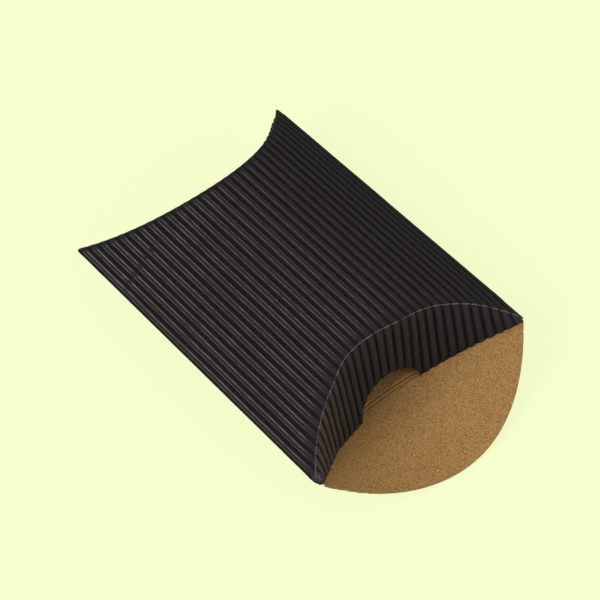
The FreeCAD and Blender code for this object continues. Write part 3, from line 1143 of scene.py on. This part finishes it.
@dataclass(frozen=True)
class PillowBox:
    """The whole box: sheets of one blank, folded at both ends."""

    crease_lip: float = 1.7 * MM
    score_reach: float = 6.5 * MM
    touch_inset: float = 0.45 * MM
    upper: Sheet = Sheet(0.0, 90.0, 1)
    lower: Sheet = Sheet(0.0, -90.0, 1)
    front_upper: Sheet = Sheet(-BOARD.half_length, 180.0, -1)
    front_lower: Sheet = Sheet(-BOARD.half_length - BOARD.nest, -90.0, 1)
    back_upper: Sheet = Sheet(BOARD.half_length, BOARD.back_tilt, -1)
    back_lower: Sheet = Sheet(BOARD.half_length - BOARD.nest, BOARD.back_tilt, -1)
    sharp: Crush = Crush(0.08, 3.5 * MM)
    knock_ribs: tuple[float, ...] = (-14.0, -12.9, -11.9, -10.8, -9.8)
    knock_y: float = 37.6 * MM
    crease_lean: tuple[Wave | Slope, ...] = (
        Wave(1.1 * MM, -4.4, 3.4),
        Wave(-1.6 * MM, 2.4, 4.6),
        Slope(1.2 * MM, 6.0, 12.0),
        Slope(-0.9 * MM, -12.5, -15.5),
    )
    edge_middle: float = -2.8 * MM
    edge_lean: tuple[Slope, ...] = (Slope(1.5 * MM, -8.0, 5.0), Slope(-1.2 * MM, -8.5, -12.5))
    tip_lift: Slope = Slope(0.5 * MM, 13.5, 15.3)
    back_shift: Wave = Wave(1.6 * MM, -3.0, 13.0)
    cut_short: float = 2.1 * MM
    cut_wave: float = 1.15 * MM
    cut_ribs: float = 14.0
    cut_tip: Slope = Slope(0.5, -12.3, -15.0)

    @property
    def back_slope(self) -> float:
        """Run of the upper back crease for each unit of its rise."""
        return 1 / math.tan(math.radians(90 - BOARD.back_tilt) / 2)

    def lean(self, rib: float, share: float) -> Vector:
        """How far the shut front flap stands off its plane, from a share of nought at its crease to one at its edge."""
        crease = sum(form.at(rib) for form in self.crease_lean)
        edge = self.edge_middle + sum(form.at(rib) for form in self.edge_lean)
        return Vector((0, crease + (edge - crease) * share, self.tip_lift.at(abs(rib))))

    def upper_front(self, rib: float) -> float:
        """Front end of the upper panel."""
        return BOARD.half_length - BOARD.bow(rib) - self.lean(rib, 0.0).y

    def upper_back(self, rib: float) -> float:
        """Back end of the upper panel."""
        return -BOARD.half_length + self.back_slope * BOARD.bow(rib) - self.back_shift.at(rib)

    def lower_crease(self, rib: float) -> float:
        """Front crease of the lower panel."""
        return self.front_lower.chord_y + BOARD.bow(rib)

    def lower_lip(self, rib: float) -> float:
        """Outer end of the crushed strip, which is never past the straight flap's own edge."""
        edge = self.front_lower.chord_y - BOARD.bow(rib) + self.kraft_inset(rib)
        return max(self.lower_crease(rib) - self.crease_lip, edge)

    def score_run(self, rib: float) -> float:
        """Middle of the two scored grooves, which lie a little askew."""
        return self.lower_crease(rib) + (3.2 - 0.12 * rib) * MM

    def score_end(self, rib: float) -> float:
        """Inner end of the scored strip."""
        return self.lower_crease(rib) + self.score_reach

    def lower_back(self, rib: float) -> float:
        """Back end of the lower panel."""
        return self.back_lower.chord_y - BOARD.bow(rib) / self.back_slope

    def kraft_inset(self, rib: float) -> float:
        """How far the straight flap's free edge falls short of the full lens: more on the left, as it was cut."""
        short = self.cut_short - self.cut_wave * math.sin(math.pi * (rib + 1) / self.cut_ribs)
        return short * (1 - self.cut_tip.at(rib))

    def build(self, finishes: Finishes) -> None:
        """Build the sleeve and then the two ends."""
        plain = Ribs(dents=tuple(Dent(rib, self.knock_y) for rib in self.knock_ribs))
        belly = Ribs(rubbed_and_highlit=0.5, tip_share=0.4)
        soft, sharp = plain.crease, self.sharp
        top = ("upper_panel_fluting",)
        Panel(
            "upper_panel", self.upper, self.upper_front, self.upper_back, top, plain, soft, sharp, liner_short=2.0 * MM
        ).build(finishes)
        zones = tuple(f"lower_panel_fluting_{zone}" for zone in ("left", "centre", "right"))
        Panel(
            "lower_panel", self.lower, self.score_end, self.lower_back, zones, belly, soft, sharp, self.score_reach
        ).build(finishes)
        SideFold(-1, self.upper, self.lower, front_y=-66.3 * MM, back_y=63.3 * MM, knob=0.3 * MM).build(finishes)
        SideFold(1, self.upper, self.lower, front_y=-63.0 * MM, back_y=63.3 * MM).build(finishes)
        CrushedCorner().build(finishes)
        for crease in (
            FoldedCrease("front_upper_crease", self.upper, self.front_upper, self.upper_front, plain, soft, wear_and_shade=0.45),
            ScoredCrease("front_lower_crease", self.lower, self.lower_lip, self.score_end, self.score_run, belly),
            FoldedCrease("back_upper_crease", self.upper, self.back_upper, self.upper_back, plain, sharp, wear_and_shade=0.2),
            FoldedCrease("back_lower_crease", self.lower, self.back_lower, self.lower_back, plain, sharp, wear_and_shade=0.2),
        ):
            crease.build(finishes)
        self.build_flaps(finishes)

    def build_flaps(self, finishes: Finishes) -> None:
        """Build the four end flaps: the straight one crushed along its cut edge, the back ones folded sharply."""
        shut = Ribs(0.55, Crush(0.5, 4.0 * MM), Crush(0.4, 4.0 * MM), tip_share=0.3, rubbed_and_highlit=0.0)
        straight = Ribs(0.8, Crush(0.3, 9.0 * MM), Crush(0.12, 3.5 * MM), tip_share=0.35, rubbed_and_highlit=0.3)
        tucked = replace(shut, crease=self.sharp)
        Flap(
            "front_upper_flap",
            self.front_upper,
            lambda rib: self.front_upper.run_at(rib, BOARD.bow(rib)),
            lambda rib: self.front_upper.run_at(rib, -BOARD.bow(rib, self.touch_inset)),
            shut,
            lean=self.lean,
            # painted bounce light from the kraft
            bounce_share=0.5,
            notched=True,
            tips=(15.45, 15.25),
            liner_short=2.2,
            hem=Vector((0, 3.0, -1.0)) * MM,
        ).build(finishes)
        Flap(
            "front_lower_flap",
            self.front_lower,
            lambda rib: BOARD.bow(rib) - self.crease_lip,
            lambda rib: self.kraft_inset(rib) - BOARD.bow(rib),
            straight,
            tips=(15.0, 14.5),
            ply_inset=0.5 * MM,
        ).build(finishes)
        Flap(
            "back_lower_flap",
            self.back_lower,
            lambda rib: self.back_lower.run_at(rib, -BOARD.bow(rib)),
            lambda rib: self.back_lower.run_at(rib, BOARD.bow(rib, BOARD.edge_inset)),
            tucked,
            moving=False,
            tips=(15.0, 15.0),
        ).build(finishes)
        Flap(
            "back_upper_flap",
            self.back_upper,
            lambda rib: self.back_upper.run_at(rib, BOARD.bow(rib)),
            lambda rib: self.back_upper.run_at(rib, -BOARD.bow(rib, BOARD.edge_inset)),
            tucked,
            notched=True,
            tips=(15.0, 15.0),
            hem=Vector((0, -3.4, -0.8)) * MM,
        ).build(finishes)


def main() -> None:
    """Build the box piece by piece, then the studio."""
    logging.basicConfig(level=logging.INFO)
    finishes = Finishes(BlackFluting().build(), KraftLiner().build(), DriedGlue().build())
    dress_nodes(finishes)
    PillowBox().build(finishes)
    Studio().build()


if __name__ == "__main__":
    main()
